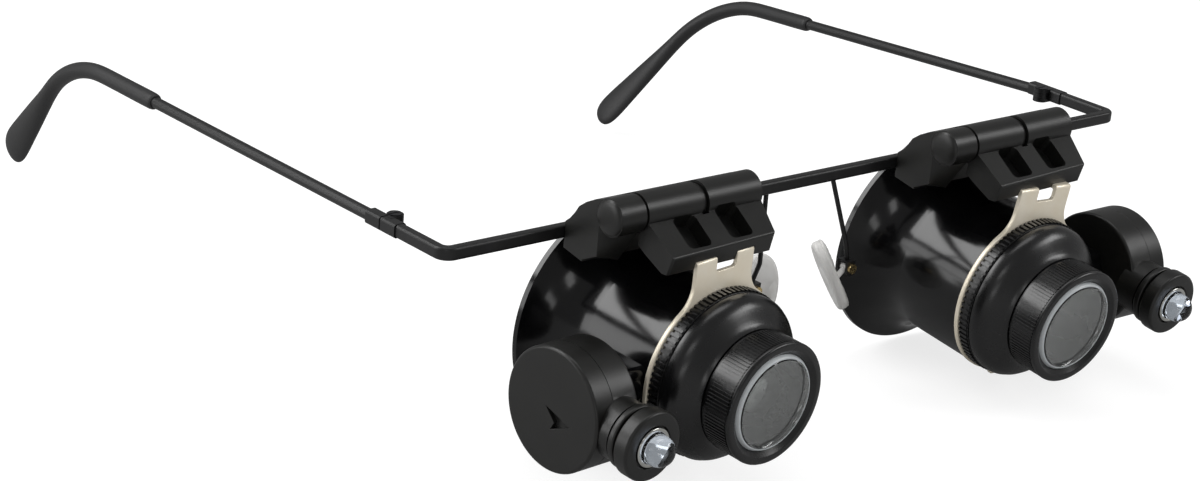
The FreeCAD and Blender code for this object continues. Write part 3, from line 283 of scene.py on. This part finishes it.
# Clear silicone of the nose pads: milky, with faint clouds and a soft skin
silicone, tree = new_finish("cast_clear_silicone")
spot = add(tree, "TexCoord").outputs["Object"]
milk = add(tree, "TexNoise", {"Vector": spot, "Scale": per(2.5), "Detail": 4.0})
colour = add(tree, "MixRGB", {"Fac": milk.outputs["Fac"], "Color1": linear("dcdbd8"),
                              "Color2": linear("efeeec")})
skin = add(tree, "TexNoise", {"Vector": spot, "Scale": per(0.4), "Detail": 2.0})
bump = add(tree, "Bump", {"Height": skin.outputs["Fac"], "Strength": 0.1, "Distance": 0.00003})
gloss = add(tree, "MapRange", {"Value": milk.outputs["Fac"], "To Min": 0.18, "To Max": 0.3})
shader = add(tree, "BsdfPrincipled", {"Base Color": colour.outputs["Color"], "IOR": 1.41,
                                      "Roughness": gloss.outputs["Result"],
                                      "Transmission Weight": 0.3,
                                      "Normal": bump.outputs["Normal"]})
add(tree, "OutputMaterial", {"Surface": shader.outputs["BSDF"]})

# Ground and polished crown glass of the lenses, with the faintest film on the face
crown_glass, tree = new_finish("polished_crown_glass")
spot = add(tree, "TexCoord").outputs["Object"]
film = add(tree, "TexNoise", {"Vector": spot, "Scale": per(4), "Detail": 3.0})
gloss = add(tree, "MapRange", {"Value": film.outputs["Fac"], "To Min": 0.0, "To Max": 0.03})
shader = add(tree, "BsdfPrincipled", {"Base Color": linear("f4f7f6"), "IOR": 1.6,
                                      "Roughness": gloss.outputs["Result"],
                                      "Transmission Weight": 1.0})
add(tree, "OutputMaterial", {"Surface": shader.outputs["BSDF"]})

# Fine-ground bevel of the lens edge: frosted, so it turns white where the light falls on it. Its pale
# whitish colour is partly a painted highlight, standing in for the bright reflection that rings the lens
# rim
ground_bevel_with_painted_highlight, tree = new_finish("fine_ground_glass_bevel_with_painted_highlight")
spot = add(tree, "TexCoord").outputs["Object"]
grit = add(tree, "TexNoise", {"Vector": spot, "Scale": per(0.2), "Detail": 4.0})
colour = add(tree, "MixRGB", {"Fac": grit.outputs["Fac"], "Color1": linear("c4c9cc"),
                              "Color2": linear("e6eaec")})
bump = add(tree, "Bump", {"Height": grit.outputs["Fac"], "Strength": 0.15, "Distance": 0.00002})
# Pale diffuse base colour: a painted highlight for the rim's reflection, on a frosted ground bevel
shader = add(tree, "BsdfPrincipled", {"Base Color": colour.outputs["Color"], "IOR": 1.6, "Roughness": 0.3,
                                      "Transmission Weight": 0.25, "Normal": bump.outputs["Normal"]})
add(tree, "OutputMaterial", {"Surface": shader.outputs["BSDF"]})

# Water-clear epoxy of the lamp dome, with faint casting swirls
lamp_epoxy, tree = new_finish("cast_clear_epoxy")
spot = add(tree, "TexCoord").outputs["Object"]
swirl = add(tree, "TexNoise", {"Vector": spot, "Scale": per(1.2), "Detail": 2.0})
bump = add(tree, "Bump", {"Height": swirl.outputs["Fac"], "Strength": 0.15, "Distance": 0.0001})
gloss = add(tree, "MapRange", {"Value": swirl.outputs["Fac"], "To Min": 0.0, "To Max": 0.05})
shader = add(tree, "BsdfPrincipled", {"Base Color": linear("e2ebfa"), "IOR": 1.5,
                                      "Roughness": gloss.outputs["Result"],
                                      "Transmission Weight": 1.0,
                                      "Normal": bump.outputs["Normal"]})
add(tree, "OutputMaterial", {"Surface": shader.outputs["BSDF"]})

# Vacuum-metallised plastic of the lamp's ring and reflector: a bright mirror with slight waviness
metallised, tree = new_finish("vacuum_metallised_reflector")
spot = add(tree, "TexCoord").outputs["Object"]
wave = add(tree, "TexNoise", {"Vector": spot, "Scale": per(1.5), "Detail": 2.0})
colour = add(tree, "MixRGB", {"Fac": wave.outputs["Fac"], "Color1": linear("b4b4b0"),
                              "Color2": linear("c6c6c2")})
gloss = add(tree, "MapRange", {"Value": wave.outputs["Fac"], "To Min": 0.08, "To Max": 0.18})
bump = add(tree, "Bump", {"Height": wave.outputs["Fac"], "Strength": 0.2, "Distance": 0.00008})
shader = add(tree, "BsdfPrincipled", {"Base Color": colour.outputs["Color"], "Metallic": 1.0,
                                      "Roughness": gloss.outputs["Result"],
                                      "Normal": bump.outputs["Normal"]})
add(tree, "OutputMaterial", {"Surface": shader.outputs["BSDF"]})


# Modelling helpers

def begin():
    """Leave nothing selected before a new piece is started."""
    bpy.ops.object.select_all(action="DESELECT")


def take(piece):
    """Make one piece the only selected and the active one."""
    begin()
    piece.select_set(True)
    bpy.context.view_layer.objects.active = piece


def leave_edit():
    """Go back to object mode with no point, edge or face selected."""
    bpy.ops.mesh.select_all(action="DESELECT")
    bpy.ops.object.mode_set(mode="OBJECT")


def body_of(node):
    """Moving body that a CAD node belongs to."""
    return nodes[node]["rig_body"]


def settle(piece, place, finish, body, angle=35):
    """Put a piece in its place, smooth it, give it its finish and let it ride."""
    piece.data.transform(place)
    take(piece)
    if place.determinant() < 0:
        # A mirrored mesh is inside out
        bpy.ops.object.mode_set(mode="EDIT")
        bpy.ops.mesh.select_all(action="SELECT")
        bpy.ops.mesh.normals_make_consistent(inside=False)
        leave_edit()
    bpy.ops.object.shade_smooth_by_angle(angle=math.radians(angle))
    weigh = piece.modifiers.new("weigh", "WEIGHTED_NORMAL")
    weigh.keep_sharp = True
    bpy.ops.object.modifier_apply(modifier="weigh")
    piece.data.materials.clear()
    piece.data.materials.append(finish)
    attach(piece, body)
    return piece


def eased(points, steps=4):
    """Outline in (station, radius) where a third number rounds its corner with that radius."""
    done = []
    for i, point in enumerate(points):
        if len(point) < 3:
            done.append(point)
            continue
        here = Vector(point[:2])
        back = (Vector(points[i - 1][:2]) - here).normalized()
        on = (Vector(points[(i + 1) % len(points)][:2]) - here).normalized()
        half = back.angle(on) / 2
        reach = point[2] / math.tan(half)
        centre = here + (back + on).normalized() * (point[2] / math.sin(half))
        first = here + back * reach - centre
        last = here + on * reach - centre
        for k in range(steps + 1):
            arc = first.slerp(last, k / steps)
            done.append(tuple(centre + arc.normalized() * point[2]))
    return done


def turned(name, outline, steps):
    """Closed outline of (station, radius) points spun about the local Y axis."""
    begin()
    bpy.ops.mesh.primitive_plane_add(size=MM)
    piece = bpy.context.object
    piece.name = name
    bpy.ops.object.mode_set(mode="EDIT")
    bpy.ops.mesh.select_mode(type="VERT")
    bpy.ops.mesh.merge(type="CENTER")
    points = [Vector((radius * MM, -station * MM, 0)) for station, radius in outline]
    bpy.ops.transform.translate(value=points[0])
    for here, there in zip(points, points[1:] + points[:1]):
        bpy.ops.mesh.extrude_region_move(TRANSFORM_OT_translate={"value": there - here})
    bpy.ops.mesh.select_all(action="SELECT")
    bpy.ops.mesh.spin(steps=steps, angle=math.tau, center=(0, 0, 0), axis=(0, 1, 0))
    bpy.ops.mesh.select_all(action="SELECT")
    bpy.ops.mesh.remove_doubles(threshold=WELD * MM)
    bpy.ops.mesh.normals_make_consistent(inside=False)
    leave_edit()
    return piece


def toothed(piece, teeth, first, last, floor_radius, rise):
    """Raise half of each tooth's steps round a turned band into straight teeth."""
    step = math.tau / (teeth * STEPS_PER_TOOTH)
    for face in piece.data.polygons:
        x, y, z = face.center / MM
        count = int(math.atan2(z, x) % math.tau / step) % STEPS_PER_TOOTH
        on_band = first < -y < last and math.hypot(x, z) > floor_radius
        face.select = on_band and count < STEPS_PER_TOOTH / 2
    take(piece)
    bpy.ops.object.mode_set(mode="EDIT")
    bpy.ops.mesh.select_mode(type="FACE")
    bpy.ops.mesh.extrude_region_shrink_fatten(TRANSFORM_OT_shrink_fatten={"value": rise * MM})
    leave_edit()


def reshape(points, operator, **settings):
    """Change these points of the active piece with one transform operator."""
    for point in points:
        point.select = True
    bpy.ops.object.mode_set(mode="EDIT")
    operator(**settings)
    leave_edit()


def softened(node, width, finish):
    """Copy of a CAD node, merged, its sharp edges eased by a small round."""
    flat_angle, sharp_angle = 1.0, 32
    take(nodes[node])
    bpy.ops.object.duplicate()
    piece = bpy.context.object
    piece.name = node + "_eased"
    for key in list(piece.keys()):
        del piece[key]
    piece.parent = None
    piece.matrix_world = Matrix.Identity(4)
    bpy.ops.object.mode_set(mode="EDIT")
    bpy.ops.mesh.select_all(action="SELECT")
    bpy.ops.mesh.remove_doubles(threshold=WELD * MM)
    bpy.ops.mesh.dissolve_limited(angle_limit=math.radians(flat_angle))
    leave_edit()
    ease = piece.modifiers.new("ease", "BEVEL")
    ease.width = width * MM
    ease.segments = 2
    ease.limit_method = "ANGLE"
    ease.angle_limit = math.radians(sharp_angle)
    ease.miter_outer = "MITER_ARC"
    bpy.ops.object.modifier_apply(modifier="ease")
    settle(piece, Matrix.Identity(4), finish, body_of(node))
    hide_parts(node)


# CAD nodes: finishes, and small rounds on the moulded and stamped pieces

CAD_FINISHES = {
    "temple_arm": wire_lacquer, "temple_tip": tip_pvc, "temple_screw": oxide_steel,
    "nose_pad_arm": wire_lacquer, "nose_pad": silicone, "nose_pad_screw": turned_brass,
    "clip_body": satin_abs, "clip_keeper": satin_abs, "clip_screws": oxide_steel,
    "flip_pin": oxide_steel, "detent_leaf": bright_steel, "flip_block": satin_abs,
    "bracket": nickel_sheet_with_painted_reflection, "eyecup": gloss_abs,
    "front_lens": crown_glass, "lens_spacer": semi_abs, "rear_lens": crown_glass,
    "lens_retainer": semi_abs, "lamp_housing": satin_abs, "battery_cap": satin_abs,
    "coin_cells": bright_steel, "battery_contacts": turned_brass,
    "lamp_pivot_screw": bright_steel, "lamp_head": satin_abs, "led": lamp_epoxy,
}

EDGE_ROUNDS = {
    "clip_body": (0.35, satin_abs, "clip_plastic"),
    "flip_block": (0.3, satin_abs, "clip_plastic"),
    "clip_keeper": (0.2, satin_abs, "clip_plastic"),
    "bracket": (0.12, nickel_sheet_with_painted_reflection, "nickel_steel"),
    "lamp_housing": (0.45, satin_abs, "lamp_plastic"),
    "battery_cap": (0.5, satin_abs, "lamp_plastic"),
}


def dress(node, finish):
    """Give a CAD node its finish."""
    for place in nodes[node].material_slots:
        place.material = finish


# Pieces modelled here, from outlines of (station forwards, radius) in millimetres

def knuckle_end(side):
    """Rounded end of the clip's knuckle, moulded shut over the hinge pin."""
    back, height, radius = -0.4, 0.6, 2.97
    dome = [(-0.25, 2.98), (-0.05, 2.93), (0.15, 2.78), (0.32, 2.5), (0.44, 2.1), (0.52, 1.6),
            (0.57, 0.9), (height, 0.0)]
    knuckle = turned(side + "_knuckle_end", [(back, 0.0), (back, radius)] + dome, 64)
    end = shift(LOUPE_X[side] - KNUCKLE_REACH, -HINGE_FORWARD, HINGE_HEIGHT) @ turn(-90, "Z")
    settle(knuckle, end, satin_abs, body_of(side + "_clip_body"), angle=60)


def front_cup(side):
    """Front cup: skirt over the eyecup, ring of grip teeth, bell shoulder and the barrel's bore."""
    teeth, tooth_rise = 90, 0.3
    back, front = 15.4, 25.4
    ring_back, ring_front, ring_radius = 18.0, 20.0, 13.7
    skirt_radius, skirt_bore = 12.4, 10.9
    groove_radius, shoulder_radius, edge = 13.5, 13.72, 0.1
    bore_radius, bore_back, skirt_floor = 8.68, 22.0, 20.6
    bell = [(21.6, shoulder_radius), (22.3, 13.4), (22.9, 12.95), (23.4, 12.4), (23.8, 11.75),
            (24.2, 11.2), (24.6, 10.55), (25.0, 10.15), (front, 9.9)]
    cup = turned(side + "_front_cup_turned", eased([
        (back, skirt_bore), (back, skirt_radius), (ring_back, skirt_radius),
        (ring_back, ring_radius, edge), (ring_front, ring_radius, edge),
        (ring_front, groove_radius), (ring_front + 0.3, shoulder_radius, edge)] + bell + [
        (front, bore_radius), (bore_back, bore_radius), (skirt_floor, skirt_bore)]),
        teeth * STEPS_PER_TOOTH)
    toothed(cup, teeth, ring_back + 0.15, ring_front - 0.1, ring_radius - 0.1, tooth_rise)
    settle(cup, loupe_place(side), semi_abs, side + "_loupe")
    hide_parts(side + "_front_cup")


def lens_barrel(side):
    """Focusing barrel: sleeve in the cup, ridged neck and the smooth bezel round the lens."""
    ridges, ridge_rise = 108, 0.2
    sleeve_back, sleeve_bore, sleeve_radius = 21.4, 7.9, 8.6
    neck_back, neck_radius, neck_edge = 25.7, 9.9, 0.1
    ridges_back, ridges_front = 26.3, 30.7
    seat, front, bezel_radius, mouth_radius = 30.2, 31.6, 10.15, 8.9
    barrel = turned(side + "_lens_barrel_turned", eased([
        (sleeve_back, sleeve_bore), (sleeve_back, sleeve_radius), (neck_back, sleeve_radius),
        (neck_back, neck_radius, neck_edge), (ridges_back, neck_radius),
        (ridges_front, neck_radius), (30.95, 10.12), (front, bezel_radius, 0.45),
        (front, mouth_radius, 0.3),
        (30.9, 8.08), (30.6, 7.6), (seat, 7.5), (seat, sleeve_bore)]), ridges * STEPS_PER_TOOTH)
    toothed(barrel, ridges, ridges_back, ridges_front, neck_radius - 0.1, ridge_rise)
    settle(barrel, loupe_place(side), semi_abs, side + "_barrel")
    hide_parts(side + "_lens_barrel")


def front_lens(side):
    """Front lens with its domed face, and the frosted bevel ground round its rim, whose pale colour is
    partly a painted highlight.
    """
    steps = 160
    back, rim_radius, crown = 29.4, 7.4, 31.86
    glass = turned(side + "_front_lens_turned", eased([
        (back, 0.0), (back, rim_radius), (30.1, rim_radius), (30.7, 7.5), (31.4, rim_radius),
        (31.55, 7.2, 0.2), (31.72, 5.4), (31.82, 3.0), (crown, 0.0)], 6), steps)
    settle(glass, loupe_place(side), crown_glass, side + "_barrel", angle=25)
    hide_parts(side + "_front_lens")
    # The pale bevel ring is partly a painted highlight: its whitish colour stands in for the rim's bright
    # reflection
    bevel_back, bevel_front, bevel_inner = 30.75, 31.58, 7.42
    bevel = turned(side + "_lens_bevel_painted_highlight", eased([
        (bevel_back, 7.55), (bevel_back, 8.02, 0.05), (31.3, 7.72),
        (bevel_front, bevel_inner, 0.12), (31.45, bevel_inner)]), steps)
    settle(bevel, loupe_place(side), ground_bevel_with_painted_highlight, side + "_barrel", angle=50)


def pad_cushion(name, length, width, thickness):
    """Soft drop-shaped cushion standing on local Z, narrower at its foot and bowed along its length."""
    band = 0.1
    foot_bands, foot_top, foot_share = 12, 0.3, 0.975
    bow_bands, bow_start, bow_step = 9, 0.15, 0.09
    begin()
    bpy.ops.mesh.primitive_uv_sphere_add(segments=64, ring_count=40, radius=MM)
    piece = bpy.context.object
    piece.name = name
    bpy.ops.object.mode_set(mode="EDIT")
    bpy.ops.mesh.select_mode(type="VERT")
    bpy.ops.mesh.select_all(action="SELECT")
    bpy.ops.transform.resize(value=(thickness / 2, width / 2, length / 2))
    leave_edit()
    half = length / 2 * MM
    for i in range(foot_bands):
        top = (foot_top - band * i) * half
        foot = [point for point in piece.data.vertices if point.co.z < top]
        reshape(foot, bpy.ops.transform.resize, value=(1, foot_share, 1), center_override=(0, 0, 0))
    for i in range(bow_bands):
        start = (bow_start + band * i) * half
        ends = [point for point in piece.data.vertices if abs(point.co.z) > start]
        reshape(ends, bpy.ops.transform.translate, value=(bow_step * MM, 0, 0))
    return piece


def nose_pad_cushion(side):
    """Silicone pad round its stiff core, leaning with the side of the nose."""
    spread = {"right": 0.0, "left": 1.0}[side]
    yaw, lean = -26, -27
    pad = pad_cushion(side + "_nose_pad_cushion", length=13.4, width=7.6, thickness=2.3)
    place = shift(8.1 + spread, 2.0, -19.5) @ turn(yaw, "Z") @ turn(lean, "Y")
    if side == "right":
        place = Matrix.Scale(-1, 4, (1, 0, 0)) @ place
    settle(pad, place, silicone, body_of(side + "_nose_pad"), angle=80)


def lamp_head(side):
    """Turning head of the lamp: two collars with a groove between, and the bright ring in its mouth."""
    back, front = 12.0, 16.5
    head_bore, throat, throat_back = 3.65, 2.47, 14.75
    collar_front, collar_radius, collar_edge = 13.2, 5.2, 0.3
    groove_front, groove_radius = 13.8, 4.3
    rim_radius, mouth_radius = 5.6, 3.5
    body = body_of(side + "_lamp_head")
    head = turned(side + "_lamp_head_turned", eased([
        (back, head_bore), (back, collar_radius, collar_edge),
        (collar_front, collar_radius, collar_edge), (collar_front, groove_radius),
        (groove_front, groove_radius), (groove_front, rim_radius, 0.35), (front, rim_radius, 0.5),
        (front, mouth_radius, 0.15), (16.1, 3.3), (16.1, throat), (throat_back, throat),
        (throat_back, head_bore)]), 96)
    settle(head, tube_place(side), satin_abs, body)
    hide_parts(side + "_lamp_head")
    ring_back, ring_front, ring_radius, ring_bore = 16.12, 16.7, 3.2, 2.55
    ring = turned(side + "_lamp_ring", eased([
        (ring_back, ring_bore), (ring_back, ring_radius), (ring_front, ring_radius, 0.22),
        (ring_front, ring_bore, 0.1)]), 64)
    settle(ring, tube_place(side), metallised, body)


def lamp_dome(side):
    """Clear lamp dome on its flange, and the bright reflector cup cast inside it."""
    flange_back, flange_front, flange_radius = 14.75, 14.95, 2.9
    dome_radius, dome_start = 2.45, 17.7
    body = body_of(side + "_led")
    arc = [(dome_start + dome_radius * math.sin(math.radians(a)), dome_radius * math.cos(math.radians(a)))
           for a in range(0, 90, 10)]
    bulb = turned(side + "_led_turned", [
        (flange_back, 0.0), (flange_back, flange_radius), (flange_front, flange_radius),
        (flange_front, dome_radius)] + arc + [(dome_start + dome_radius, 0.0)], 64)
    settle(bulb, tube_place(side), lamp_epoxy, body, angle=40)
    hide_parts(side + "_led")
    cup_back, cup_floor, cup_rim = 15.2, 15.6, 16.9
    reflector = turned(side + "_lamp_reflector", [
        (cup_floor, 0.0), (cup_floor, 0.5), (cup_rim, 1.75), (cup_rim, 1.95), (cup_back, 0.7),
        (cup_back, 0.0)], 48)
    settle(reflector, tube_place(side), metallised, body)


dress("front_bar", wire_lacquer)
for side in SIDES:
    for part, finish in CAD_FINISHES.items():
        dress(side + "_" + part, finish)
    for part, (width, finish, slot) in EDGE_ROUNDS.items():
        softened(side + "_" + part, width, finish)
    knuckle_end(side)
    front_cup(side)
    lens_barrel(side)
    front_lens(side)
    nose_pad_cushion(side)
    lamp_head(side)
    lamp_dome(side)


# Floor and surroundings

FLOOR_SIZE = 6
FLOOR_GAP = 0.0005
FLOOR_LIFT = 0.76
FLOOR_IN_REFLECTIONS = 0.05
ROOM_LIGHT = 0.7
ROOM_IN_REFLECTIONS = -0.42

# Matte paper sweep: light grey in itself and lifted to white for the camera and through glass
floor_tone, tree = new_finish("matte_white_paper_sweep")
spot = add(tree, "TexCoord").outputs["Object"]
fibre = add(tree, "TexNoise", {"Vector": spot, "Scale": per(40), "Detail": 2.0})
colour = add(tree, "MixRGB", {"Fac": fibre.outputs["Fac"], "Color1": linear("969696"),
                              "Color2": linear("9c9c9c")})
path = add(tree, "LightPath")
seen = add(tree, "Math", {0: path.outputs["Is Camera Ray"], 1: path.outputs["Is Transmission Ray"]},
           operation="MAXIMUM")
lift = add(tree, "Math", {0: path.outputs["Is Glossy Ray"], 1: FLOOR_IN_REFLECTIONS,
                          2: seen.outputs["Value"]}, operation="MULTIPLY_ADD")
lifted = add(tree, "Math", {0: lift.outputs["Value"], 1: FLOOR_LIFT}, operation="MULTIPLY")
shader = add(tree, "BsdfPrincipled", {"Base Color": colour.outputs["Color"], "Roughness": 0.9,
                                      "Specular IOR Level": 0.1, "Emission Color": linear("ffffff"),
                                      "Emission Strength": lifted.outputs["Value"]})
add(tree, "OutputMaterial", {"Surface": shader.outputs["BSDF"]})
begin()
bpy.ops.mesh.primitive_plane_add(size=FLOOR_SIZE, location=(0, 0, cad_box[0][2] - FLOOR_GAP))
floor = bpy.context.object
floor.name = "floor"
floor.data.transform(floor.matrix_world)
floor.matrix_world = Matrix.Identity(4)
floor.data.materials.append(floor_tone)

# White surroundings for the camera and through glass, a dimmer grey room in the reflections
world = bpy.data.worlds.new("studio")
scene.world = world
world.use_nodes = True
tree = world.node_tree
tree.nodes.clear()
path = add(tree, "LightPath")
seen = add(tree, "Math", {0: path.outputs["Is Camera Ray"], 1: path.outputs["Is Transmission Ray"]},
           operation="MAXIMUM")
level = add(tree, "MapRange", {"Value": seen.outputs["Value"], "To Min": ROOM_LIGHT, "To Max": 1.0})
level = add(tree, "Math", {0: path.outputs["Is Glossy Ray"], 1: ROOM_IN_REFLECTIONS,
                           2: level.outputs["Result"]}, operation="MULTIPLY_ADD")
sky = add(tree, "Background", {"Color": linear("ffffff"), "Strength": level.outputs["Value"]})
add(tree, "OutputWorld", {"Surface": sky.outputs["Background"]})


# Lights, in metres and watts

RIGHT_EYECUP = (-0.036, -0.01, -0.019)
BROW = (0, 0, 0)


def softbox(name, place, aim, size, power, roll=0.0):
    """Rectangular soft light at a place, facing a point, rolled about its own axis."""
    begin()
    bpy.ops.object.light_add(type="AREA", location=place)
    box = bpy.context.object
    box.name = name
    box.data.shape = "RECTANGLE"
    box.data.size, box.data.size_y = size
    box.data.energy = power
    box.visible_camera = False
    facing = (Vector(aim) - Vector(place)).to_track_quat("-Z", "Y").to_matrix()
    box.rotation_euler = (facing @ Matrix.Rotation(math.radians(roll), 3, "Z")).to_euler()


softbox("upper_side_box", (-0.49, 0.50, 0.57), RIGHT_EYECUP, size=(0.3, 0.6), power=3.6, roll=35)
softbox("lower_side_box", (-0.76, 0.50, 0.115), RIGHT_EYECUP, size=(0.5, 0.3), power=1.5)
softbox("front_right_box", (0.58, -0.5, 0.5), BROW, size=(0.5, 0.25), power=2.2)
softbox("front_left_box", (-0.60, -0.55, 0.50), BROW, size=(0.3, 0.16), power=0.4)
softbox("low_front_box", (-0.62, -0.64, 0.06), BROW, size=(0.3, 0.14), power=0.3)
softbox("top_fill", (0.05, 0.1, 0.75), BROW, size=(0.5, 0.3), power=1.0)

# Camera, fitted to the photo

CAMERA_PLACE = Vector((-0.30836, -0.29984, 0.14333))
CAMERA_RIGHT = Vector((0.7758, -0.6267, 0.0735))
CAMERA_UP = Vector((0.1684, 0.3179, 0.9331))

begin()
bpy.ops.object.camera_add(location=CAMERA_PLACE)
camera = bpy.context.object
camera.name = "camera"
back = CAMERA_RIGHT.cross(CAMERA_UP).normalized()
up = back.cross(CAMERA_RIGHT).normalized()
axes = Matrix((CAMERA_RIGHT, up, back)).transposed()
camera.matrix_world = Matrix.Translation(CAMERA_PLACE) @ axes.to_4x4()
camera.data.sensor_width = 36
camera.data.lens = 82.48
camera.data.shift_x = 0.0312
camera.data.shift_y = 0.0166
camera.data.clip_start = 0.01
scene.camera = camera
scene.view_settings.view_transform = "Standard"
